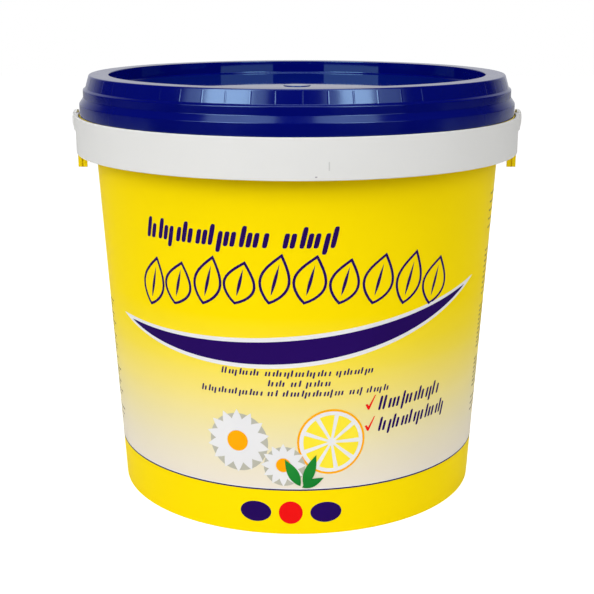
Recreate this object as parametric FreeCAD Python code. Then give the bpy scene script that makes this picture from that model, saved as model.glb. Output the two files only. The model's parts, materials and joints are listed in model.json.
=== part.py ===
import FreeCAD, Part

# Ten litre catering pail for mayonnaise: a tapered plastic pail, full and shut by its
# snap-on lid, with a flat strap handle that lies folded down round the front.
#
# Millimetres. +Z is up, the origin is the middle of the foot on the ground, and the
# folded strap is on the front, which faces -Y. The strap's two pegs turn in a hinge
# tab on each side of the collar, on one axis parallel to X.
import math
import os

from FreeCAD import Vector

# ---- Pail ---------------------------------------------------------------------
pail_height = 232.1       # ground to the collar's top face, which carries the lid
mouth_radius = 125.3      # outside of the wall, level with the collar's top face
wall_lean_deg = 3.15      # the wall leans out all round by this angle
foot_corner = 0.6         # rounding between the wall and the ground
foot_ring_width = 8.0     # flat ring that the pail stands on
foot_recess = 3.0         # the floor's height above the ground, inside the ring
foot_recess_lean = 2.0    # the recess narrows by this much on its way up

collar_overhang = 8.0     # the collar stands out from the mouth by this much
collar_depth = 19.6       # height of the collar's hanging skirt
collar_wall = 2.2         # thickness of that skirt
flange_thickness = 1.8    # the collar's flat top
edge_round = 0.5          # small rounding of moulded edges
inner_round = 1.0         # fillet where wall and flange meet

# ---- Hinge tabs ---------------------------------------------------------------
tab_half_width = 8.5      # half of the tab's width, along Y
tab_thickness = 2.2       # outer plate, along X
tab_rib_depth = 3.0       # rib behind the plate, along X
tab_rib_width = 2.0       # along Y
tab_rib_inset = 1.0       # the rib stands back from the plate's front edge by this much
tab_proud = 2.7           # the tab's face stands out from the collar by this much
tab_drop = 33.4           # from the collar's top face to the tab's lower end
tab_top_inset = 0.5       # the tab starts this far under the collar's top face
tab_corner = 1.2          # rounding of the tab's lower corners

# ---- Lid ----------------------------------------------------------------------
lid_inset = 0.15          # the lid's skirt stands in from the collar's edge
lid_skirt_height = 7.3    # upright band at the bottom
lid_bead_height = 3.6     # sloping bead above it
lid_bead_inset = 2.45     # how far the bead slopes in
lid_neck_height = 4.6     # upright band above the bead
lid_ledge_height = 1.05   # small shoulder on top of that band
lid_ledge_inset = 1.5
lid_cone_height = 7.65    # ribbed sloping wall under the rim
lid_cone_inset = 2.3      # how far that wall slopes in
lid_rim_width = 11.8      # flat ring on top
lid_recess_depth = 8.1    # the foot of the next pail stands in this recess
lid_rim_round = 1.0
gate_radius = 8.3         # low disc in the middle of the lid
gate_height = 0.4
rib_count = 60            # fine upright ribs on the sloping wall
rib_turn_deg = 1.2        # turns the ring of ribs, as the lid was snapped on
rib_width = 1.0
rib_proud = 0.15

# ---- Strap handle -------------------------------------------------------------
strap_width = 22.4
strap_thickness = 1.9
strap_gap = 0.4           # clear of everything that the strap swings past
strap_above_collar = 0.4  # the strap's upper edge stands this far above the collar
strap_end_corner = 4.0    # rounding of the strap's lower end corners
hinge_gap = 0.3           # between faces that slide past each other at the hinge
peg_radius = 2.2
peg_clearance = 0.07      # radial, peg in its bore
peg_tip = 1.0             # the peg reaches this far past the collar's inner face
hub_radius = 6.0          # round end of the strap, over the peg
hub_thickness = 2.8
hub_round = 1.6
hub_dish_radius = 3.2     # shallow dish in the hub's face
hub_dish_depth = 0.6
arm_root = 17.0           # the arm to the hub leaves the strap this far from the axis

# ---- Worked out from the above ------------------------------------------------
wall_slope = math.tan(math.radians(wall_lean_deg))
foot_radius = mouth_radius - pail_height * wall_slope
collar_radius = mouth_radius + collar_overhang
collar_inner_radius = collar_radius - collar_wall
flange_under = pail_height - flange_thickness
skirt_bottom = pail_height - collar_depth

tab_face = collar_radius + tab_proud
tab_back = tab_face - tab_thickness
tab_bottom = pail_height - tab_drop

lid_skirt_radius = collar_radius - lid_inset
lid_neck_radius = lid_skirt_radius - lid_bead_inset
lid_shoulder_radius = lid_neck_radius - lid_ledge_inset
lid_top_radius = lid_shoulder_radius - lid_cone_inset
lid_recess_radius = lid_top_radius - lid_rim_width
lid_skirt_top = pail_height + lid_skirt_height
lid_bead_top = lid_skirt_top + lid_bead_height
lid_neck_top = lid_bead_top + lid_neck_height
lid_shoulder_top = lid_neck_top + lid_ledge_height
lid_top = lid_shoulder_top + lid_cone_height
lid_panel = lid_top - lid_recess_depth

# The peg passes just under the collar's flange, and the strap clears every edge
# that lies on its way over the lid.
pivot_height = flange_under - hinge_gap - peg_radius
lid_edges = [
    (lid_skirt_radius, pail_height),
    (lid_skirt_radius, lid_skirt_top),
    (lid_neck_radius, lid_neck_top),
    (lid_top_radius + rib_proud, lid_top),
]
swing_radius = max(math.hypot(radius, height - pivot_height) for radius, height in lid_edges)
strap_inner_radius = max(collar_radius, swing_radius) + strap_gap
strap_outer_radius = strap_inner_radius + strap_thickness
strap_top = pail_height + strap_above_collar
strap_bottom = strap_top - strap_width
strap_end = tab_half_width + strap_gap
pad_inner = max(tab_face, strap_inner_radius) + hinge_gap
pad_outer = pad_inner + strap_thickness
hub_face = pad_inner + hub_thickness

NUDGE = 1.0               # how far a cutting or joining shape runs past the surface


def rounded_wire(corners, to_space):
    """Closed wire through (u, v, rounding) corners, each rounded by a tangent arc."""
    count = len(corners)
    ends = []
    for index, (u, v, rounding) in enumerate(corners):
        here = Vector(u, v, 0)
        if rounding == 0:
            ends.append((here, None, here))
            continue
        before = Vector(corners[index - 1][0], corners[index - 1][1], 0)
        after = Vector(corners[(index + 1) % count][0], corners[(index + 1) % count][1], 0)
        back = (before - here).normalize()
        ahead = (after - here).normalize()
        half_angle = back.getAngle(ahead) / 2
        inward = (back + ahead).normalize()
        reach = rounding / math.tan(half_angle)
        middle = here + inward * (rounding / math.sin(half_angle) - rounding)
        ends.append((here + back * reach, middle, here + ahead * reach))
    edges = []
    for index, (start, middle, finish) in enumerate(ends):
        if middle is not None:
            arc = Part.Arc(to_space(start), to_space(middle), to_space(finish))
            edges.append(arc.toShape())
        following = ends[(index + 1) % count][0]
        edges.append(Part.LineSegment(to_space(finish), to_space(following)).toShape())
    return Part.Wire(edges)


def radius_height(point):
    """Outline in (radius, height), drawn in the XZ plane."""
    return Vector(point.x, 0, point.y)


def turned(corners, angle=360.0):
    """Solid of revolution about Z from a (radius, height, rounding) outline."""
    face = Part.Face(rounded_wire(corners, radius_height))
    return face.revolve(Vector(0, 0, 0), Vector(0, 0, 1), angle)


def make_pail():
    """Full pail, its collar, and on each side a hinge tab with its rib and bore."""
    recess_radius = foot_radius - foot_ring_width
    wall_at_flange = mouth_radius - flange_thickness * wall_slope
    pail = turned([
        (0, foot_recess, 0),
        (recess_radius - foot_recess_lean, foot_recess, inner_round),
        (recess_radius, 0, edge_round),
        (foot_radius, 0, foot_corner),
        (wall_at_flange, flange_under, inner_round),
        (collar_inner_radius, flange_under, inner_round),
        (collar_inner_radius, skirt_bottom, edge_round),
        (collar_radius, skirt_bottom, edge_round),
        (collar_radius, pail_height, edge_round),
        (0, pail_height, 0),
    ])
    # The tab's shoulders are round from the hinge axis up, so that the strap's end
    # swings past them.
    tab_top = pail_height - tab_top_inset
    shoulder = tab_top - pivot_height
    outline = rounded_wire([
        (-tab_half_width, tab_top, shoulder),
        (-tab_half_width, tab_bottom, tab_corner),
        (tab_half_width, tab_bottom, tab_corner),
        (tab_half_width, tab_top, shoulder),
    ], lambda point: Vector(collar_inner_radius, point.x, point.y))
    block = Part.Face(outline).extrude(Vector(tab_face - collar_inner_radius, 0, 0))
    under_skirt = Part.makeBox(
        tab_back - collar_inner_radius + NUDGE,
        2 * tab_half_width + 2 * NUDGE,
        skirt_bottom + edge_round - tab_bottom + NUDGE,
        Vector(collar_inner_radius - NUDGE, -tab_half_width - NUDGE, tab_bottom - NUDGE),
    )
    rib = Part.makeBox(
        tab_rib_depth + NUDGE,
        tab_rib_width,
        flange_under + NUDGE - tab_bottom,
        Vector(tab_back - tab_rib_depth, tab_rib_inset - tab_half_width, tab_bottom),
    )
    right = block.cut(under_skirt).fuse(rib)
    bore = Part.makeCylinder(
        peg_radius + peg_clearance,
        tab_face - collar_inner_radius + 2 * NUDGE,
        Vector(collar_inner_radius - NUDGE, 0, pivot_height),
        Vector(1, 0, 0),
    )
    left = right.mirror(Vector(0, 0, 0), Vector(1, 0, 0))
    pail = pail.fuse([right, left])
    pail = pail.cut([bore, bore.mirror(Vector(0, 0, 0), Vector(1, 0, 0))])
    return pail.removeSplitter()


def make_lid():
    """Snapped-on lid: upright skirt, bead, neck, ribbed cone, flat rim and recess."""
    lid = turned([
        (0, pail_height, 0),
        (lid_skirt_radius, pail_height, edge_round),
        (lid_skirt_radius, lid_skirt_top, edge_round),
        (lid_neck_radius, lid_bead_top, edge_round),
        (lid_neck_radius, lid_neck_top, edge_round),
        (lid_shoulder_radius, lid_shoulder_top, edge_round),
        (lid_top_radius, lid_top, lid_rim_round),
        (lid_recess_radius, lid_top, edge_round),
        (lid_recess_radius, lid_panel, inner_round),
        (gate_radius, lid_panel, 0),
        (gate_radius, lid_panel + gate_height, 0),
        (0, lid_panel + gate_height, 0),
    ])
    rib_root = rib_proud + NUDGE
    rib_bottom = lid_shoulder_top
    rib_top = lid_top - lid_rim_round
    lean = lid_cone_inset / lid_cone_height
    top_radius = lid_top_radius + lean * lid_rim_round
    corners = [
        Vector(lid_shoulder_radius - rib_root, -rib_width / 2, rib_bottom),
        Vector(lid_shoulder_radius + rib_proud, -rib_width / 2, rib_bottom),
        Vector(top_radius + rib_proud, -rib_width / 2, rib_top),
        Vector(top_radius - rib_root, -rib_width / 2, rib_top),
    ]
    rib = Part.Face(Part.makePolygon(corners + corners[:1])).extrude(Vector(0, rib_width, 0))
    ribs = []
    for index in range(rib_count):
        copy = rib.copy()
        copy.rotate(Vector(0, 0, 0), Vector(0, 0, 1), rib_turn_deg + 360.0 * index / rib_count)
        ribs.append(copy)
    return lid.fuse(ribs).removeSplitter()


def strap_middle(distance):
    """X of the middle of the strap's thickness, that far along Y from the hinge axis."""
    return math.sqrt((strap_inner_radius + strap_thickness / 2) ** 2 - distance ** 2)


def make_handle_end():
    """Right-hand end of the handle: arm, hub and peg, in one with the strap."""
    arm_outer = math.sqrt(strap_outer_radius ** 2 - arm_root ** 2)
    plan = [
        Vector(pad_inner, 0, 0),
        Vector(pad_inner, -strap_end, 0),
        Vector(strap_middle(strap_end), -strap_end, 0),
        Vector(strap_middle(arm_root), -arm_root, 0),
        Vector(arm_outer, -arm_root, 0),
        Vector(pad_outer, -hub_radius, 0),
        Vector(pad_outer, 0, 0),
    ]
    arm_bottom = pivot_height - hub_radius
    arm_face = Part.Face(Part.makePolygon(plan + plan[:1]))
    arm_face.translate(Vector(0, 0, arm_bottom))
    arm = arm_face.extrude(Vector(0, 0, strap_top - arm_bottom))
    hub_outline = rounded_wire([
        (pad_inner, 0, 0),
        (pad_inner, hub_radius, 0),
        (hub_face, hub_radius, hub_round),
        (hub_face, hub_dish_radius, edge_round),
        (hub_face - hub_dish_depth, hub_dish_radius - hub_dish_depth, 0),
        (hub_face - hub_dish_depth, 0, 0),
    ], lambda point: Vector(point.x, 0, pivot_height + point.y))
    axis_start = Vector(0, 0, pivot_height)
    hub = Part.Face(hub_outline).revolve(axis_start, Vector(1, 0, 0), 360)
    peg_end = collar_inner_radius - peg_tip
    peg = Part.makeCylinder(
        peg_radius,
        pad_inner - peg_end + NUDGE,
        Vector(peg_end, 0, pivot_height),
        Vector(1, 0, 0),
    )
    return arm.fuse([hub, peg])


def make_handle():
    """Strap round the front half of the collar, with an arm, hub and peg at each end."""
    half_ring = turned([
        (strap_inner_radius, strap_bottom, edge_round),
        (strap_outer_radius, strap_bottom, edge_round),
        (strap_outer_radius, strap_top, edge_round),
        (strap_inner_radius, strap_top, edge_round),
    ], -180.0)
    reach = strap_outer_radius + NUDGE
    side = rounded_wire([
        (-reach, strap_bottom - NUDGE, 0),
        (-strap_end - strap_end_corner * 2, strap_bottom - NUDGE, 0),
        (-strap_end - strap_end_corner * 2, strap_bottom, 0),
        (-strap_end, strap_bottom, strap_end_corner),
        (-strap_end, strap_top + NUDGE, 0),
        (-reach, strap_top + NUDGE, 0),
    ], lambda point: Vector(-reach, point.x, point.y))
    trim = Part.Face(side).extrude(Vector(2 * reach, 0, 0))
    strap = half_ring.common(trim)
    right = make_handle_end()
    left = right.mirror(Vector(0, 0, 0), Vector(1, 0, 0))
    return strap.fuse([right, left]).removeSplitter()


os.makedirs("parts", exist_ok=True)
NODES = {
    "pail": make_pail(),
    "lid": make_lid(),
    "strap_handle": make_handle(),
}
for name, shape in NODES.items():
    solids = shape.Solids
    if len(solids) != 1 or not shape.isValid():
        raise RuntimeError(f"{name}: {len(solids)} solids, valid {shape.isValid()}")
    solids[0].exportStep(f"parts/{name}.step")
    box = shape.BoundBox
    print(
        f"{name}: volume {shape.Volume / 1000:.1f} cm3, "
        f"x {box.XMin:.1f}..{box.XMax:.1f} y {box.YMin:.1f}..{box.YMax:.1f} "
        f"z {box.ZMin:.1f}..{box.ZMax:.1f}"
    )
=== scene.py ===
import json
import math

import bmesh
import bpy
from mathutils import Matrix, Vector


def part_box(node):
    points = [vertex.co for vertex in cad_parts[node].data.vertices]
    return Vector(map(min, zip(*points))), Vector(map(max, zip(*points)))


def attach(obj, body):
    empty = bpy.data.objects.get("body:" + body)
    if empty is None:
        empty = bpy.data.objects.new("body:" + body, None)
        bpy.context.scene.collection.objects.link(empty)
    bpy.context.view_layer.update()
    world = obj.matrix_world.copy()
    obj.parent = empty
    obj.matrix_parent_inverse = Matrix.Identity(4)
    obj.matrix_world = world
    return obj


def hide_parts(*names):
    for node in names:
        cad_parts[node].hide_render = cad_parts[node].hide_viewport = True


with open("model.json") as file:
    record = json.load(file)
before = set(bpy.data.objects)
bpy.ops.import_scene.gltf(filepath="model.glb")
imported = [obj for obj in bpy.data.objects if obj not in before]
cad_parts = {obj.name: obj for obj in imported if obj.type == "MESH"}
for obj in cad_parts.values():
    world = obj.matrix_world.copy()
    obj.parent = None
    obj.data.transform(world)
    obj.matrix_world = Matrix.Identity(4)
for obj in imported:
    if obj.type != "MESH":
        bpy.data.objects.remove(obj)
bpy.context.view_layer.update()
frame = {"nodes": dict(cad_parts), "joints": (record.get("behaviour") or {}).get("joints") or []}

# Lengths below are in millimetres, as on the part's drawing, and become metres here.
MM = 0.001

# ---- Where the pieces are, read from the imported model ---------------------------
pail_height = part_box("pail")[1].z / MM
lid_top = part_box("lid")[1].z / MM
hinge_height = frame["joints"][0]["pos_m"][2] / MM
tab_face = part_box("pail")[1].x / MM

# ---- Pail outline ---------------------------------------------------------------
mouth_radius = 125.3
wall_slope = math.tan(math.radians(3.15))
foot_radius = mouth_radius - pail_height * wall_slope
foot_corner = 0.6
foot_ring_width = 8.0
foot_recess = 3.0
foot_recess_lean = 2.0
collar_radius = 133.3
collar_wall = 2.2
collar_depth = 19.6
flange_thickness = 1.8
edge_round = 0.5          # rounding of moulded edges
inner_round = 1.0         # rounding of the larger corners

# ---- Hinge tabs -----------------------------------------------------------------
tab_half_width = 8.5
tab_thickness = 2.2
tab_rib_depth = 3.0
tab_rib_width = 2.0
tab_rib_inset = 1.0
tab_drop = 33.4
tab_top_inset = 0.5
tab_corner = 1.2
tab_rib_corner = 0.05
tab_rib_sink = 0.3        # the rib reaches this far into the plate
tab_bevel = 0.25
bore_radius = 2.27

# ---- Lid outline, from the bottom up ----------------------------------------------
lid_radius = 133.15
lid_neck_radius = 130.7
lid_ledge_radius = 129.2
lid_top_radius = 126.9
lid_recess_radius = 115.1
gate_radius = 8.3
gate_round = 0.15
lid_skirt_top = pail_height + 7.3
lid_bead_top = pail_height + 10.9
lid_neck_top = pail_height + 15.5
lid_ledge_top = pail_height + 16.55
lid_recess_floor = lid_top - 8.1
gate_top = lid_top - 7.7
lid_corners = [
    (0.0, pail_height, 0.0),
    (lid_radius, pail_height, edge_round),
    (lid_radius, lid_skirt_top, edge_round),
    (lid_neck_radius, lid_bead_top, edge_round),
    (lid_neck_radius, lid_neck_top, edge_round),
    (lid_ledge_radius, lid_ledge_top, edge_round),
    (lid_top_radius, lid_top, inner_round),
    (lid_recess_radius, lid_top, edge_round),
    (lid_recess_radius, lid_recess_floor, inner_round),
    (gate_radius, lid_recess_floor, gate_round),
    (gate_radius, gate_top, gate_round),
    (0.0, gate_top, 0.0),
]
rib_count = 60
rib_turn = math.radians(1.2)
rib_width = 1.3
rib_proud = 0.06

# ---- Print on the wall --------------------------------------------------------------
print_radius = 118.0      # arc lengths of the print are measured round this radius
ink_step = 0.04           # each printed layer stands this far outside the one below
slice_width = 2.317       # print is cut into slices this wide, so it follows the wall
line_height = 28.4        # the navy line above the foot band
line_width = 0.9
bar_slant = 0.22          # lean of the printed bars, as a share of their height

TURN_SEGMENTS = 288       # steps of a turned surface round the pail


def rounded(corners, steps=6, support=0.25):
    """Outline through (radius, height, rounding) corners, with arcs and support points."""
    runs = []
    for index, (radius, height, rounding) in enumerate(corners):
        here = Vector((radius, height))
        if rounding == 0 or index in (0, len(corners) - 1):
            runs.append([here])
            continue
        back = (Vector(corners[index - 1][:2]) - here).normalized()
        ahead = (Vector(corners[index + 1][:2]) - here).normalized()
        half_angle = back.angle(ahead) / 2
        centre = here + (back + ahead).normalized() * rounding / math.sin(half_angle)
        reach = rounding / math.tan(half_angle)
        start = here + back * reach - centre
        finish = here + ahead * reach - centre
        total = start.angle(finish)
        arc = []
        for step in range(steps + 1):
            share = step / steps
            blend = start * math.sin((1 - share) * total) + finish * math.sin(share * total)
            arc.append(centre + blend / math.sin(total))
        runs.append(arc)
    points = []
    for index, run in enumerate(runs):
        points.extend(run)
        if index + 1 < len(runs):
            start = run[-1]
            way = runs[index + 1][0] - start
            if way.length > 3 * support:
                points.append(start + way.normalized() * support)
                points.append(start + way.normalized() * (way.length - support))
    return points


def finish_mesh(name, mesh, body, material, smooth_angle=40.0):
    """Object from a mesh, smooth up to that angle, on its body and with its material."""
    mesh.shade_smooth()
    mesh.set_sharp_from_angle(angle=math.radians(smooth_angle))
    piece = bpy.data.objects.new(name, mesh)
    bpy.context.scene.collection.objects.link(piece)
    mesh.materials.append(material)
    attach(piece, body)
    return piece


def turned_mesh(name, outline):
    """Mesh of a (radius, height) outline turned about Z."""
    bm = bmesh.new()
    rings = []
    for point in outline:
        if point.x < 1e-6:
            rings.append([bm.verts.new((0, 0, point.y * MM))])
            continue
        ring = []
        for step in range(TURN_SEGMENTS):
            angle = 2 * math.pi * step / TURN_SEGMENTS
            x = point.x * math.cos(angle) * MM
            y = point.x * math.sin(angle) * MM
            ring.append(bm.verts.new((x, y, point.y * MM)))
        rings.append(ring)
    for lower, upper in zip(rings, rings[1:]):
        for step in range(TURN_SEGMENTS):
            following = (step + 1) % TURN_SEGMENTS
            corners = []
            for vert in (
                lower[step % len(lower)],
                lower[following % len(lower)],
                upper[following % len(upper)],
                upper[step % len(upper)],
            ):
                if vert not in corners:
                    corners.append(vert)
            if len(corners) > 2:
                bm.faces.new(corners)
    bmesh.ops.recalc_face_normals(bm, faces=bm.faces)
    mesh = bpy.data.meshes.new(name)
    bm.to_mesh(mesh)
    bm.free()
    return mesh


# ---- Materials ------------------------------------------------------------------
YELLOW = (0.96, 0.725, 0.001)
NAVY_INK = (0.02, 0.004, 0.11)
NAVY = (0.0004, 0.0022, 0.145)
NAVY_DARK = (0.0003, 0.0018, 0.13)
GLOSS_BLUE = (0.36, 0.58, 0.83)   # tint of the lid's gloss
DEEP_BLUE = (0.3, 0.62, 0.9)      # and of the gloss inside its recess
INK_GLOSS = 0.012                 # the print is nearly dull


def new_material(name):
    """Empty node material: its nodes, its links and its Principled shader."""
    material = bpy.data.materials.new(name)
    material.use_nodes = True
    nodes = material.node_tree.nodes
    return material, nodes, material.node_tree.links, nodes["Principled BSDF"]


def add_grain(nodes, links, shader, roughness, spread, scale, depth):
    """Moulded plastic's uneven gloss and its very slight ripple."""
    place = nodes.new("ShaderNodeTexCoord")
    noise = nodes.new("ShaderNodeTexNoise")
    noise.inputs["Scale"].default_value = scale
    noise.inputs["Detail"].default_value = 3.0
    links.new(place.outputs["Object"], noise.inputs["Vector"])
    gloss = nodes.new("ShaderNodeMapRange")
    gloss.inputs["From Min"].default_value = 0.3
    gloss.inputs["From Max"].default_value = 0.7
    gloss.inputs["To Min"].default_value = roughness - spread
    gloss.inputs["To Max"].default_value = roughness + spread
    links.new(noise.outputs["Fac"], gloss.inputs["Value"])
    links.new(gloss.outputs["Result"], shader.inputs["Roughness"])
    bump = nodes.new("ShaderNodeBump")
    bump.inputs["Strength"].default_value = 0.25
    bump.inputs["Distance"].default_value = depth * MM
    links.new(noise.outputs["Fac"], bump.inputs["Height"])
    links.new(bump.outputs["Normal"], shader.inputs["Normal"])
    return place


def plastic(name, light, dark, roughness, spread=0.03, scale=90.0, depth=0.02, specular=0.5,
            tint=(1.0, 1.0, 1.0), ior=1.5):
    """Moulded plastic or ink that drifts between two close tones."""
    material, nodes, links, shader = new_material(name)
    place = add_grain(nodes, links, shader, roughness, spread, scale, depth)
    drift = nodes.new("ShaderNodeTexNoise")
    drift.inputs["Scale"].default_value = 14.0
    links.new(place.outputs["Object"], drift.inputs["Vector"])
    tone = nodes.new("ShaderNodeValToRGB")
    tone.color_ramp.elements[0].position = 0.35
    tone.color_ramp.elements[0].color = (*dark, 1.0)
    tone.color_ramp.elements[1].position = 0.65
    tone.color_ramp.elements[1].color = (*light, 1.0)
    links.new(drift.outputs["Fac"], tone.inputs["Fac"])
    links.new(tone.outputs["Color"], shader.inputs["Base Color"])
    shader.inputs["Specular IOR Level"].default_value = specular
    shader.inputs["Specular Tint"].default_value = (*tint, 1.0)
    shader.inputs["IOR"].default_value = ior
    return material


def label_material():
    """Printed wall: yellow above, fading to cream, and a yellow band below the line."""
    material, nodes, links, shader = new_material("printed_wall")
    place = add_grain(nodes, links, shader, 0.38, 0.03, 70.0, 0.02)
    split = nodes.new("ShaderNodeSeparateXYZ")
    links.new(place.outputs["Object"], split.inputs["Vector"])
    height = nodes.new("ShaderNodeMapRange")
    ramp_top = 0.16  # metres above the ground, where the ramp ends
    height.inputs["From Min"].default_value = 0.0
    height.inputs["From Max"].default_value = ramp_top
    links.new(split.outputs["Z"], height.inputs["Value"])
    ramp = nodes.new("ShaderNodeValToRGB")
    stops = [
        (line_height, YELLOW),
        (line_height + 0.1, (0.80, 0.74, 0.66)),
        (47.0, (0.81, 0.74, 0.54)),
        (66.0, (0.84, 0.74, 0.37)),
        (85.0, (0.89, 0.74, 0.20)),
        (103.0, (0.915, 0.73, 0.07)),
        (114.0, (0.93, 0.725, 0.03)),
        (132.0, YELLOW),
    ]
    elements = ramp.color_ramp.elements
    elements[0].position = 0.0
    elements[0].color = (*YELLOW, 1.0)
    elements[1].position = 1.0
    elements[1].color = (*YELLOW, 1.0)
    for level, colour in stops:
        stop = elements.new(level * MM / ramp_top)
        stop.color = (*colour, 1.0)
    links.new(height.outputs["Result"], ramp.inputs["Fac"])
    links.new(ramp.outputs["Color"], shader.inputs["Base Color"])
    shader.inputs["Specular IOR Level"].default_value = INK_GLOSS
    return material


yellow_plastic = plastic("yellow_plastic", (0.88, 0.68, 0.003), (0.86, 0.66, 0.003), 0.4,
                         specular=0.12)
navy_plastic = plastic("navy_plastic", NAVY, NAVY_DARK, 0.14, spread=0.02, scale=60.0,
                       depth=0.01, specular=1.0, tint=GLOSS_BLUE, ior=1.6)
navy_recess = plastic("navy_recess", NAVY, NAVY_DARK, 0.03, spread=0.01, scale=25.0,
                      depth=0.004, specular=0.75, tint=DEEP_BLUE, ior=1.6)
# Lighter navy for the recess floor: painted light, standing in for the light that falls on it from
# above.
lit_navy_panel = plastic("lit_navy_panel", (0.003, 0.016, 0.17), (0.0025, 0.013, 0.155), 0.03,
                     spread=0.01, scale=25.0, depth=0.004, specular=0.75, tint=DEEP_BLUE,
                     ior=1.6)
white_plastic = plastic("white_plastic", (0.75, 0.75, 0.735), (0.735, 0.735, 0.72), 0.42,
                        specular=0.35)
dull_plastic = plastic("dull_plastic", (0.62, 0.62, 0.61), (0.59, 0.59, 0.58), 0.4)
grey_plastic = plastic("grey_plastic", (0.42, 0.40, 0.42), (0.38, 0.36, 0.38), 0.4)


def ink(name, light, dark):
    """Print on the wall, with the wall's own low gloss."""
    return plastic(name, light, dark, 0.38, specular=INK_GLOSS)


navy_ink = ink("navy_ink", NAVY_INK, (0.018, 0.0035, 0.1))
pale_ink = ink("pale_ink", (0.80, 0.80, 0.82), (0.77, 0.77, 0.79))
red_ink = ink("red_ink", (0.83, 0.008, 0.008), (0.8, 0.007, 0.007))
green_ink = ink("green_ink", (0.005, 0.17, 0.025), (0.02, 0.26, 0.04))
orange_ink = ink("orange_ink", (0.98, 0.44, 0.004), (0.95, 0.37, 0.003))
lemon_ink = ink("lemon_ink", (0.97, 0.80, 0.05), (0.95, 0.76, 0.03))
grey_ink = ink("grey_ink", (0.50, 0.49, 0.42), (0.46, 0.45, 0.38))
fine_ink = ink("fine_ink", (0.13, 0.08, 0.05), (0.11, 0.07, 0.045))
wall_print = label_material()

# ---- Pail -------------------------------------------------------------------------
flange_under = pail_height - flange_thickness
skirt_bottom = pail_height - collar_depth
recess_radius = foot_radius - foot_ring_width
pail_outline = rounded([
    (0.0, foot_recess, 0.0),
    (recess_radius - foot_recess_lean, foot_recess, inner_round),
    (recess_radius, 0.0, edge_round),
    (foot_radius, 0.0, foot_corner),
    (mouth_radius - flange_thickness * wall_slope, flange_under, inner_round),
    (collar_radius - collar_wall, flange_under, inner_round),
    (collar_radius - collar_wall, skirt_bottom, edge_round),
    (collar_radius, skirt_bottom, edge_round),
    (collar_radius, pail_height, edge_round),
    (0.0, pail_height, 0.0),
])
pail = finish_mesh("pail_shell", turned_mesh("pail_shell", pail_outline), "pail",
                   wall_print)
pail.data.materials.append(yellow_plastic)
# Everything but the wall is plain yellow.
for face in pail.data.polygons:
    spread = math.hypot(face.center.x, face.center.y) / MM
    level = face.center.z / MM
    beside_wall = abs(spread - foot_radius - wall_slope * level) > 0.3
    if beside_wall or level < foot_corner or level > flange_under - inner_round - 0.1:
        face.material_index = 1
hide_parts("pail")


def cut_bores(piece):
    """Cuts the strap's bore through the collar on both sides."""
    bm = bmesh.new()
    length = (tab_face - collar_radius + 2 * collar_wall) * MM
    inner_end = (collar_radius - collar_wall - 0.5) * MM
    for side in (1, -1):
        place = Matrix.Translation(((inner_end + length / 2) * side, 0, hinge_height * MM))
        turn = Matrix.Rotation(math.pi / 2, 4, "Y")
        bmesh.ops.create_cone(bm, cap_ends=True, segments=48, radius1=bore_radius * MM,
                              radius2=bore_radius * MM, depth=length, matrix=place @ turn)
    mesh = bpy.data.meshes.new("cutter")
    bm.to_mesh(mesh)
    bm.free()
    cutter = bpy.data.objects.new("cutter", mesh)
    bpy.context.scene.collection.objects.link(cutter)
    cut = piece.modifiers.new("bores", "BOOLEAN")
    cut.operation = "DIFFERENCE"
    cut.solver = "EXACT"
    cut.object = cutter
    bpy.context.view_layer.update()
    graph = bpy.context.evaluated_depsgraph_get()
    bored = bpy.data.meshes.new_from_object(piece.evaluated_get(graph))
    piece.modifiers.clear()
    piece.data = bored
    bpy.data.objects.remove(cutter)


cut_bores(pail)


def plate_mesh(side, corners, inner, outer, bored):
    """Plate across X from a rounded (y, z) rectangle, with or without the strap's bore."""
    loop = []
    for index, (y, z, rounding) in enumerate(corners):
        sign_y = -1 if index in (2, 3) else 1
        sign_z = -1 if index in (0, 3) else 1
        centre = Vector((y + sign_y * rounding, z + sign_z * rounding))
        start = math.atan2(-sign_z, -sign_y)
        turns = [start - math.pi / 4 + math.pi / 2 * step / 8 for step in range(9)]
        loop.extend(centre + Vector((math.cos(a), math.sin(a))) * rounding for a in turns)
    hole = []
    for step in range(40):
        angle = 2 * math.pi * step / 40
        hole.append(Vector((math.cos(angle), math.sin(angle))) * bore_radius
                    + Vector((0, hinge_height)))
    bm = bmesh.new()
    edges = []
    for points in (loop, hole) if bored else (loop,):
        verts = [bm.verts.new((inner * side * MM, p.x * MM, p.y * MM)) for p in points]
        for index, vert in enumerate(verts):
            edges.append(bm.edges.new((vert, verts[(index + 1) % len(verts)])))
    bmesh.ops.triangle_fill(bm, use_beauty=True, edges=edges)
    grown = bmesh.ops.extrude_face_region(bm, geom=list(bm.faces))
    moved = [item for item in grown["geom"] if isinstance(item, bmesh.types.BMVert)]
    bmesh.ops.translate(bm, verts=moved, vec=((outer - inner) * side * MM, 0, 0))
    bmesh.ops.recalc_face_normals(bm, faces=bm.faces)
    mesh = bpy.data.meshes.new("plate")
    bm.to_mesh(mesh)
    bm.free()
    return mesh


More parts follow.
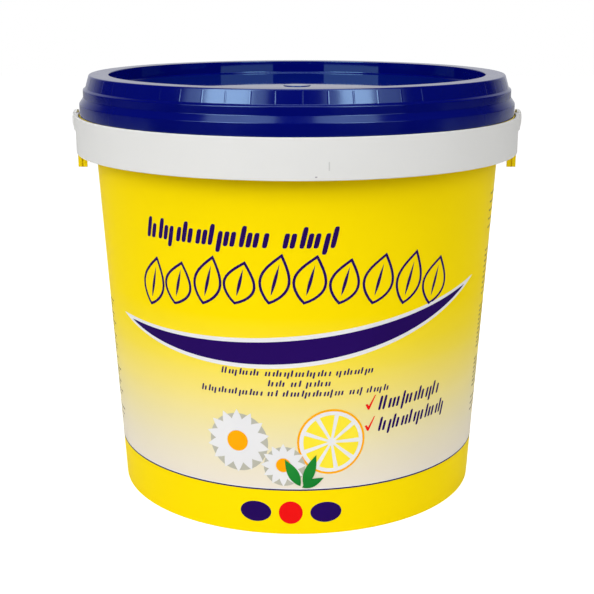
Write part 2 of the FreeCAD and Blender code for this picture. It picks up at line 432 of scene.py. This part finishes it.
tab_top = pail_height - tab_top_inset
tab_bottom = pail_height - tab_drop
tab_back = tab_face - tab_thickness
rib_front = tab_rib_inset - tab_half_width
tab_corners = [
    (-tab_half_width, tab_top, tab_top - hinge_height),
    (-tab_half_width, tab_bottom, tab_corner),
    (tab_half_width, tab_bottom, tab_corner),
    (tab_half_width, tab_top, tab_top - hinge_height),
]
rib_corners = [
    (rib_front, flange_under, tab_rib_corner),
    (rib_front, tab_bottom, tab_rib_corner),
    (rib_front + tab_rib_width, tab_bottom, tab_rib_corner),
    (rib_front + tab_rib_width, flange_under, tab_rib_corner),
]
for side, word in ((1, "right"), (-1, "left")):
    for name, corners, inner, outer, bored in (
        ("pail_tab_", tab_corners, tab_back, tab_face, True),
        ("pail_tab_rib_", rib_corners, tab_back - tab_rib_depth, tab_back + tab_rib_sink, False),
    ):
        plate = plate_mesh(side, corners, inner, outer, bored)
        tab = finish_mesh(name + word, plate, "pail", yellow_plastic)
        soften = tab.modifiers.new("edges", "BEVEL")
        soften.width = tab_bevel * MM
        soften.segments = 3
        soften.limit_method = "ANGLE"
        soften.angle_limit = math.radians(50)

# ---- Lid --------------------------------------------------------------------------
lid = finish_mesh("lid_shell", turned_mesh("lid_shell", rounded(lid_corners)), "pail",
                  navy_plastic)
lid.data.materials.append(navy_recess)
lid.data.materials.append(lit_navy_panel)
# The recess has its own gloss on its side. Its floor is a lighter navy: painted light, for the
# light that falls on it from above.
for face in lid.data.polygons:
    spread = math.hypot(face.center.x, face.center.y) / MM
    if face.center.z / MM > pail_height + 1.0 and spread < lid_recess_radius + 0.1:
        face.material_index = 2 if spread < lid_recess_radius - inner_round else 1
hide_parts("lid")


def rib_mesh():
    """Fine upright ribs round the lid's sloping wall."""
    section = [(-0.5, -0.2)]
    for step in range(9):
        offset = (step - 4) / 10
        section.append((offset, 0.5 + 0.5 * math.cos(2 * math.pi * offset)))
    section.append((0.5, -0.2))
    low = Vector((lid_ledge_radius, lid_ledge_top))
    high = Vector((lid_top_radius, lid_top))
    along = (high - low).normalized()
    out = Vector((along.y, -along.x))
    length = (high - low).length
    # Distances up the sloping wall, with the rib's share of its full height there.
    stations = [(0.0, 0.4), (0.35, 0.9), (0.8, 1.0), (length - 1.6, 1.0), (length - 1.1, 0.5)]
    bm = bmesh.new()
    for rib in range(rib_count):
        angle = rib_turn + 2 * math.pi * rib / rib_count
        radial = Vector((math.cos(angle), math.sin(angle), 0))
        across = Vector((-math.sin(angle), math.cos(angle), 0))
        rows = []
        for distance, share in stations:
            point = low + along * distance
            row = []
            for offset, lift in section:
                place = point + out * rib_proud * lift * share
                spot = radial * place.x + across * offset * rib_width + Vector((0, 0, place.y))
                row.append(bm.verts.new(spot * MM))
            rows.append(row)
        for lower, upper in zip(rows, rows[1:]):
            for index in range(len(section) - 1):
                bm.faces.new((lower[index], lower[index + 1], upper[index + 1], upper[index]))
        bm.faces.new(rows[0][::-1])
        bm.faces.new(rows[-1])
    bmesh.ops.recalc_face_normals(bm, faces=bm.faces)
    mesh = bpy.data.meshes.new("lid_ribs")
    bm.to_mesh(mesh)
    bm.free()
    return mesh


finish_mesh("lid_ribs", rib_mesh(), "pail", navy_plastic, 50.0)

# ---- Strap handle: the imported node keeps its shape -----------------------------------
strap = frame["nodes"]["strap_handle"]
strap.data.materials.clear()
strap.data.materials.append(white_plastic)
strap_radius = -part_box("strap_handle")[0].y / MM
mark_relief = 0.12


def strap_mark(name, arc, height, width, tall, colour):
    """Small raised moulding mark on the strap's outer face."""
    bm = bmesh.new()
    columns = []
    for step in range(9):
        share = step / 8
        angle = (arc + (share - 0.5) * width) / strap_radius
        radius = strap_radius - 0.02 + mark_relief * math.sin(math.pi * share)
        x, y = math.sin(angle) * radius * MM, -math.cos(angle) * radius * MM
        columns.append([bm.verts.new((x, y, (height + row * tall / 4) * MM)) for row in range(5)])
    for left, right in zip(columns, columns[1:]):
        for low in range(4):
            bm.faces.new((left[low], right[low], right[low + 1], left[low + 1]))
    mesh = bpy.data.meshes.new(name)
    bm.to_mesh(mesh)
    bm.free()
    finish_mesh(name, mesh, "handle", colour)


strap_mark("strap_seam", 16.7, 215.4, 0.7, 4.6, dull_plastic)
strap_mark("strap_gate", 9.9, 211.8, 1.2, 0.7, grey_plastic)


# ---- Print --------------------------------------------------------------------------
def printed(name, shapes, colour, layer):
    """Flat shapes of (arc, height) loops, wrapped on the leaning wall as a film of ink."""
    bm = bmesh.new()
    for loops in shapes:
        edges = []
        for loop in loops:
            verts = [bm.verts.new((arc, height, 0)) for arc, height in loop]
            for index, vert in enumerate(verts):
                edges.append(bm.edges.new((vert, verts[(index + 1) % len(verts)])))
        bmesh.ops.triangle_fill(bm, use_beauty=True, edges=edges)
    reach = [vert.co.x for vert in bm.verts]
    cut = min(reach) + slice_width
    while cut < max(reach):
        everything = bm.verts[:] + bm.edges[:] + bm.faces[:]
        bmesh.ops.bisect_plane(bm, geom=everything, plane_co=(cut, 0, 0), plane_no=(1, 0, 0))
        cut += slice_width
    normals = []
    lean = Vector((1.0, -wall_slope)).normalized()
    for vert in bm.verts:
        angle = vert.co.x / print_radius
        radius = foot_radius + wall_slope * vert.co.y + ink_step * layer
        outward = Vector((math.sin(angle), -math.cos(angle)))
        vert.co = Vector((outward.x * radius, outward.y * radius, vert.co.y)) * MM
        normals.append((outward.x * lean.x, outward.y * lean.x, lean.y))
    for face in bm.faces:
        face.normal_update()
        if face.normal.dot(Vector((*face.calc_center_median().xy, 0))) < 0:
            face.normal_flip()
    mesh = bpy.data.meshes.new(name)
    bm.to_mesh(mesh)
    bm.free()
    mesh.shade_smooth()
    mesh.normals_split_custom_set_from_vertices(normals)
    piece = bpy.data.objects.new(name, mesh)
    bpy.context.scene.collection.objects.link(piece)
    mesh.materials.append(colour)
    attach(piece, "pail")


def ribbon(half_length, middle, rise, sag, thickness, steps=60):
    """Tapered curved stripe: (arc, height) loop, pointed at both ends."""
    upper = []
    lower = []
    for step in range(steps + 1):
        share = -1 + 2 * step / steps
        centre = middle + rise * share + sag * share * share
        half = thickness / 2 * (1 - share * share) ** 0.85
        upper.append((share * half_length, centre + half))
        if 0 < step < steps:
            lower.append((share * half_length, centre - half))
    return upper + lower[::-1]


def slanted_bar(arc, height, width, tall):
    """Upright rounded bar that leans right."""
    points = []
    for index in range(16):
        angle = 2 * math.pi * index / 16
        x = math.copysign(abs(math.cos(angle)) ** 0.6, math.cos(angle)) * width / 2
        y = math.copysign(abs(math.sin(angle)) ** 0.35, math.sin(angle)) * tall / 2
        y += tall / 2
        points.append((arc + x + bar_slant * y, height + y))
    return [points]


def hatching(arc, height, counts, width, pitch, tall, rise=0.0, gap=2.2):
    """Row of leaning bars in groups of the given counts, in place of words."""
    shapes = []
    start = arc
    for group, count in enumerate(counts):
        for index in range(count):
            first = index == 0 and group == 0
            lift = 1.0 if (index * 5 + group * 3 + count) % 4 == 0 or first else 0.7
            drop = -0.3 * tall if (index * 3 + group + count) % 7 == 2 else 0.0
            base = height + (arc - start) * rise
            foot = arc + bar_slant * drop
            shapes.append(slanted_bar(foot, base + drop, width, tall * lift - drop))
            arc += pitch * (1.25 if index % 3 == 1 else 0.9)
        arc += pitch * gap / 2
    return shapes


def leaf(arc, height, length, width, lean, steps=14):
    """Pointed leaf outline from its lower end, leaning right by lean radians."""
    side = []
    for step in range(1, steps):
        share = step / steps
        bulge = math.sin(math.pi * share ** 0.85) * width / 2
        side.append((bulge, share * length))
    loop = [(0, 0)] + side + [(0, length)] + [(-x, y) for x, y in side[::-1]]
    cos, sin = math.cos(lean), math.sin(lean)
    return [(arc + x * cos + y * sin, height - x * sin + y * cos) for x, y in loop]


def inset(loop, amount):
    """Loop drawn in by that much, for an outline's inner edge."""
    middle = Vector((sum(p[0] for p in loop), sum(p[1] for p in loop))) / len(loop)
    count = len(loop)
    area = sum(loop[i][0] * loop[(i + 1) % count][1] - loop[(i + 1) % count][0] * loop[i][1]
               for i in range(count))
    turn = 1 if area > 0 else -1
    inner = []
    for index in range(count):
        here = Vector(loop[index])
        before = (here - Vector(loop[index - 1])).normalized()
        after = (Vector(loop[(index + 1) % count]) - here).normalized()
        normal = Vector((-(before + after).y, (before + after).x)).normalized() * turn
        stretch = min(2.2, 1 / max(0.3, normal.dot(Vector((-after.y, after.x)) * turn)))
        inner.append(tuple(here + normal * amount * stretch))
    return inner


def disc(arc, height, radius, squash=1.0, steps=40):
    """Round or oval loop."""
    points = []
    for step in range(steps):
        angle = 2 * math.pi * step / steps
        points.append((arc + radius * math.cos(angle), height + radius * squash * math.sin(angle)))
    return points


# Curved navy stripe with its pale border.
printed("print_stripe_border", [[ribbon(122.0, 112.6, 11.5, 19.0, 18.4)]], pale_ink, 1)
printed("print_stripe", [[ribbon(112.0, 112.6, 10.6, 16.0, 13.4)]], navy_ink, 2)

# Row of large outlined leaves above the stripe, each with a vein. Their feet lie on a
# shallow arch.
sprig_start = -91.0
sprig_pitch = 18.9
sprig_height = 140.0
sprig_lean = 0.26
leaf_line = 1.5
vein_width = 1.8
leaf_lengths = (31, 27, 30, 26, 30, 29, 27, 30, 32, 29)
sprig = []
for index, length in enumerate(leaf_lengths):
    arc = sprig_start + index * sprig_pitch
    base = sprig_height - 8.5 * (arc / 88.0) ** 2
    outer = leaf(arc, base, length, 18.5 if index % 2 else 17.0, sprig_lean)
    sprig.append([outer, inset(outer, leaf_line)])
    sprig.append([leaf(arc + 1.4, base + 5.0, length * 0.62, vein_width, sprig_lean)])
printed("print_sprig", sprig, navy_ink, 1)

# Groups of leaning bars where the wording stood: where each row starts, and its groups.
heading = hatching(-88.5, 171.5, (18, 7), 2.8, 4.1, 12.0, gap=3.4)
printed("print_heading", heading, navy_ink, 1)
small = []
for arc, height, counts in (
    (-43.0, 97.9, (11, 18, 11)),
    (-16.0, 91.9, (5, 3, 7)),
    (-56.0, 86.0, (18, 3, 17, 4, 7)),
):
    small.extend(hatching(arc, height, counts, 1.05, 2.05, 3.9))
for arc, height, counts in ((48.5, 74.4, (15,)), (49.0, 61.4, (17,))):
    small.extend(hatching(arc, height, counts, 1.65, 3.0, 8.6, rise=0.05))
printed("print_lines", small, navy_ink, 1)

# Two red ticks.
ticks = []
for arc, height in ((39.8, 75.6), (39.8, 62.6)):
    ticks.append([[(arc, height + 3.2), (arc + 1.2, height + 3.6), (arc + 2.2, height + 2.2),
                   (arc + 5.6, height + 8.4), (arc + 6.4, height + 8.6), (arc + 2.6, height),
                   (arc + 1.6, height)]])
printed("print_ticks", ticks, red_ink, 1)

# Blossoms, a slice of lemon and leaves.
petals = []
hearts = []
shade = []
for arc, height, radius, count in ((-35.0, 57.5, 19.0, 14), (-8.0, 44.0, 13.0, 12)):
    shade.append([disc(arc + 0.6, height - 0.8, radius * 0.93)])
    for index in range(count):
        lean = 2 * math.pi * index / count
        petals.append([leaf(arc + math.sin(lean) * radius * 0.2,
                            height + math.cos(lean) * radius * 0.2,
                            radius * 0.82, radius * 0.36, lean)])
    hearts.append([disc(arc, height, radius * 0.33)])
printed("print_blossom_shade", shade, grey_ink, 1)
for index, petal in enumerate(petals):
    printed("print_petal_%02d" % index, [petal], pale_ink, 2 + (index % 2))
printed("print_blossom_hearts", hearts, orange_ink, 5)

slice_arc, slice_height, slice_radius = 20.0, 58.0, 20.0
printed("print_lemon_rind", [[disc(slice_arc, slice_height, slice_radius)]], orange_ink, 1)
printed("print_lemon_pith", [[disc(slice_arc, slice_height, slice_radius - 1.3)]], pale_ink, 2)
segment_count = 9
segments = []
for index in range(segment_count):
    middle = 2 * math.pi * (index + 0.5) / segment_count
    wedge = []
    for radius, half, steps in ((2.4, -0.06, 1), (slice_radius - 3.6, 0.27, 4)):
        for step in range(steps + 1):
            angle = middle + half * (1 - 2 * step / steps)
            wedge.append((slice_arc + radius * math.cos(angle),
                          slice_height + radius * math.sin(angle)))
    segments.append([wedge])
printed("print_lemon_segments", segments, lemon_ink, 3)

greens = []
for arc, height, length, width, lean in (
    (2.0, 31.0, 19.0, 6.5, -0.5),
    (4.0, 30.6, 21.0, 6.5, 0.35),
    (3.0, 30.2, 14.0, 5.0, 1.15),
):
    greens.append([leaf(arc, height, length, width, lean)])
for index, green in enumerate(greens):
    printed("print_green_%d" % index, [green], green_ink, 6 + index)

# Two ovals and a dot on the foot band.
badge_height = 14.0
badge = []
for arc in (-25.0, 17.5):
    badge.append([disc(arc, badge_height, 9.5, 0.68)])
printed("print_foot_bars", badge, navy_ink, 1)
printed("print_foot_dot", [[disc(-3.75, badge_height, 7.2)]], red_ink, 1)

# Small print down both sides, as blocks of dashes: where each block starts, its rows,
# their pitch and their length.
dash_height = 0.9
dash_gap = 1.1
fine = []
for arc, height, rows, pitch, length in (
    (146.0, 187.0, 5, 5.2, 40.0),
    (146.0, 152.0, 9, 3.4, 52.0),
    (145.0, 117.0, 10, 2.9, 52.0),
    (144.0, 83.0, 7, 2.9, 46.0),
    (144.0, 58.0, 3, 4.2, 30.0),
    (-194.0, 120.0, 14, 2.9, 48.0),
    (-194.0, 76.0, 7, 2.9, 50.0),
    (-194.0, 50.0, 3, 4.2, 52.0),
):
    for row in range(rows):
        start = arc
        level = height - row * pitch
        end = arc + length - (row * 7 % 5) * 2.2
        word = 0
        while start < end - 2.0:
            width = 3.0 + (word * 5 + row * 3) % 4 * 1.6
            stop = min(start + width, end)
            fine.append([[(start, level), (stop, level), (stop, level + dash_height),
                          (start, level + dash_height)]])
            start = stop + dash_gap
            word += 1
printed("print_fine", fine, fine_ink, 1)


def band(name, low, high, colour, layer):
    """Printed line all the way round the wall."""
    outline = []
    for height in (low, high):
        outline.append(Vector((foot_radius + wall_slope * height + ink_step * layer, height)))
    piece = finish_mesh(name, turned_mesh(name, outline), "pail", colour)
    for face in piece.data.polygons:
        if face.normal.dot(Vector((face.center.x, face.center.y, 0))) < 0:
            piece.data.flip_normals()
            break


band("print_line", line_height - line_width / 2, line_height + line_width / 2, navy_ink, 2)
band("print_line_border", line_height + 0.2, line_height + 1.0, pale_ink, 1)

# ---- Camera ---------------------------------------------------------------------------
camera_data = bpy.data.cameras.new("camera")
camera_data.lens = 71.43
camera_data.sensor_width = 36.0
camera = bpy.data.objects.new("camera", camera_data)
camera.location = (0.0, -0.7389, 0.3063)
camera.rotation_euler = (math.radians(75.33), 0.0, 0.0)
bpy.context.scene.collection.objects.link(camera)
bpy.context.scene.camera = camera


# ---- Light ------------------------------------------------------------------------------
def softbox(name, azimuth, elevation, distance, width, height, radiance):
    """Rectangular lamp that faces the pail's middle, azimuth measured from the front."""
    lamp_data = bpy.data.lights.new(name, "AREA")
    lamp_data.shape = "RECTANGLE"
    lamp_data.size = width
    lamp_data.size_y = height
    lamp_data.energy = radiance * math.pi * width * height
    lamp = bpy.data.objects.new(name, lamp_data)
    side = math.radians(azimuth)
    rise = math.radians(elevation)
    away = Vector((math.sin(side) * math.cos(rise), -math.cos(side) * math.cos(rise),
                   math.sin(rise)))
    target = Vector((0, 0, 0.15))
    lamp.location = target + away * distance
    lamp.rotation_euler = (-away).to_track_quat("-Z", "Y").to_euler()
    bpy.context.scene.collection.objects.link(lamp)


# Each side has a wide low panel, a narrower high one and a bright one in the middle.
# Azimuth, elevation, distance, width, height and radiance.
softbox("softbox_left_low", -37.9, 21.5, 1.4, 1.0, 1.0, 1.25)
softbox("softbox_left_high", -39.5, 52.0, 1.4, 0.62, 0.64, 1.35)
softbox("softbox_left_middle", -36.1, 31.0, 1.38, 0.52, 0.7, 5.0)
softbox("softbox_right_low", 35.0, 21.5, 1.4, 0.95, 1.0, 0.9)
softbox("softbox_right_high", 35.0, 52.0, 1.4, 0.56, 0.64, 1.3)
softbox("softbox_right_middle", 31.0, 31.0, 1.38, 0.36, 0.7, 4.9)
softbox("softbox_top", 0.0, 80.0, 1.4, 1.0, 0.8, 1.8)

# ---- Floor and studio ---------------------------------------------------------------------
floor_half_width = 2.0
floor_front = 0.42        # the floor ends this far in front of the pail's middle
floor_mesh = bpy.data.meshes.new("floor")
bm = bmesh.new()
bmesh.ops.create_grid(bm, x_segments=1, y_segments=1, size=floor_half_width,
                      matrix=Matrix.Translation((0, floor_half_width - floor_front, 0)))
bm.to_mesh(floor_mesh)
bm.free()
floor = bpy.data.objects.new("floor", floor_mesh)
bpy.context.scene.collection.objects.link(floor)
floor_paint, nodes, links, shader = new_material("floor")
shader.inputs["Base Color"].default_value = (0.8, 0.8, 0.8, 1.0)
shader.inputs["Roughness"].default_value = 0.9
shader.inputs["Specular IOR Level"].default_value = 0.0
# The camera sees the floor white, with the pail's shadow. It lights nothing with that.
rays = nodes.new("ShaderNodeLightPath")
glow = nodes.new("ShaderNodeEmission")
glow.inputs["Strength"].default_value = 0.65
add = nodes.new("ShaderNodeAddShader")
choose = nodes.new("ShaderNodeMixShader")
links.new(shader.outputs["BSDF"], add.inputs[0])
links.new(glow.outputs["Emission"], add.inputs[1])
links.new(rays.outputs["Is Camera Ray"], choose.inputs["Fac"])
links.new(shader.outputs["BSDF"], choose.inputs[1])
links.new(add.outputs["Shader"], choose.inputs[2])
links.new(choose.outputs["Shader"], nodes["Material Output"].inputs["Surface"])
floor_mesh.materials.append(floor_paint)

world = bpy.data.worlds.new("studio")
bpy.context.scene.world = world
world.use_nodes = True
nodes = world.node_tree.nodes
links = world.node_tree.links
nodes.clear()
rays = nodes.new("ShaderNodeLightPath")
place = nodes.new("ShaderNodeTexCoord")
split = nodes.new("ShaderNodeSeparateXYZ")
links.new(place.outputs["Generated"], split.inputs["Vector"])
# Reflections see a white backdrop behind the pail and a dim room in front of it.
backdrop = nodes.new("ShaderNodeMapRange")
backdrop.inputs["From Min"].default_value = 0.6
backdrop.inputs["From Max"].default_value = 0.95
backdrop.inputs["To Min"].default_value = 0.01
backdrop.inputs["To Max"].default_value = 0.66
links.new(split.outputs["Y"], backdrop.inputs["Value"])
# The camera sees plain white.
seen = nodes.new("ShaderNodeBackground")
seen.inputs["Color"].default_value = (1.0, 1.0, 1.0, 1.0)
seen.inputs["Strength"].default_value = 1.0
mirrored = nodes.new("ShaderNodeBackground")
mirrored.inputs["Color"].default_value = (1.0, 1.0, 1.0, 1.0)
links.new(backdrop.outputs["Result"], mirrored.inputs["Strength"])
ambient = nodes.new("ShaderNodeBackground")
ambient.inputs["Color"].default_value = (1.0, 1.0, 1.0, 1.0)
# Soft light is strong from the backdrop's side and weak from the front.
surround = nodes.new("ShaderNodeMapRange")
surround.inputs["From Min"].default_value = -0.4
surround.inputs["From Max"].default_value = 0.6
surround.inputs["To Min"].default_value = 0.13
surround.inputs["To Max"].default_value = 0.85
links.new(split.outputs["Y"], surround.inputs["Value"])
links.new(surround.outputs["Result"], ambient.inputs["Strength"])
lighting = nodes.new("ShaderNodeMixShader")
surroundings = nodes.new("ShaderNodeMixShader")
output = nodes.new("ShaderNodeOutputWorld")
links.new(rays.outputs["Is Glossy Ray"], lighting.inputs["Fac"])
links.new(ambient.outputs["Background"], lighting.inputs[1])
links.new(mirrored.outputs["Background"], lighting.inputs[2])
links.new(rays.outputs["Is Camera Ray"], surroundings.inputs["Fac"])
links.new(lighting.outputs["Shader"], surroundings.inputs[1])
links.new(seen.outputs["Background"], surroundings.inputs[2])
links.new(surroundings.outputs["Shader"], output.inputs["Surface"])

bpy.context.scene.view_settings.view_transform = "Standard"
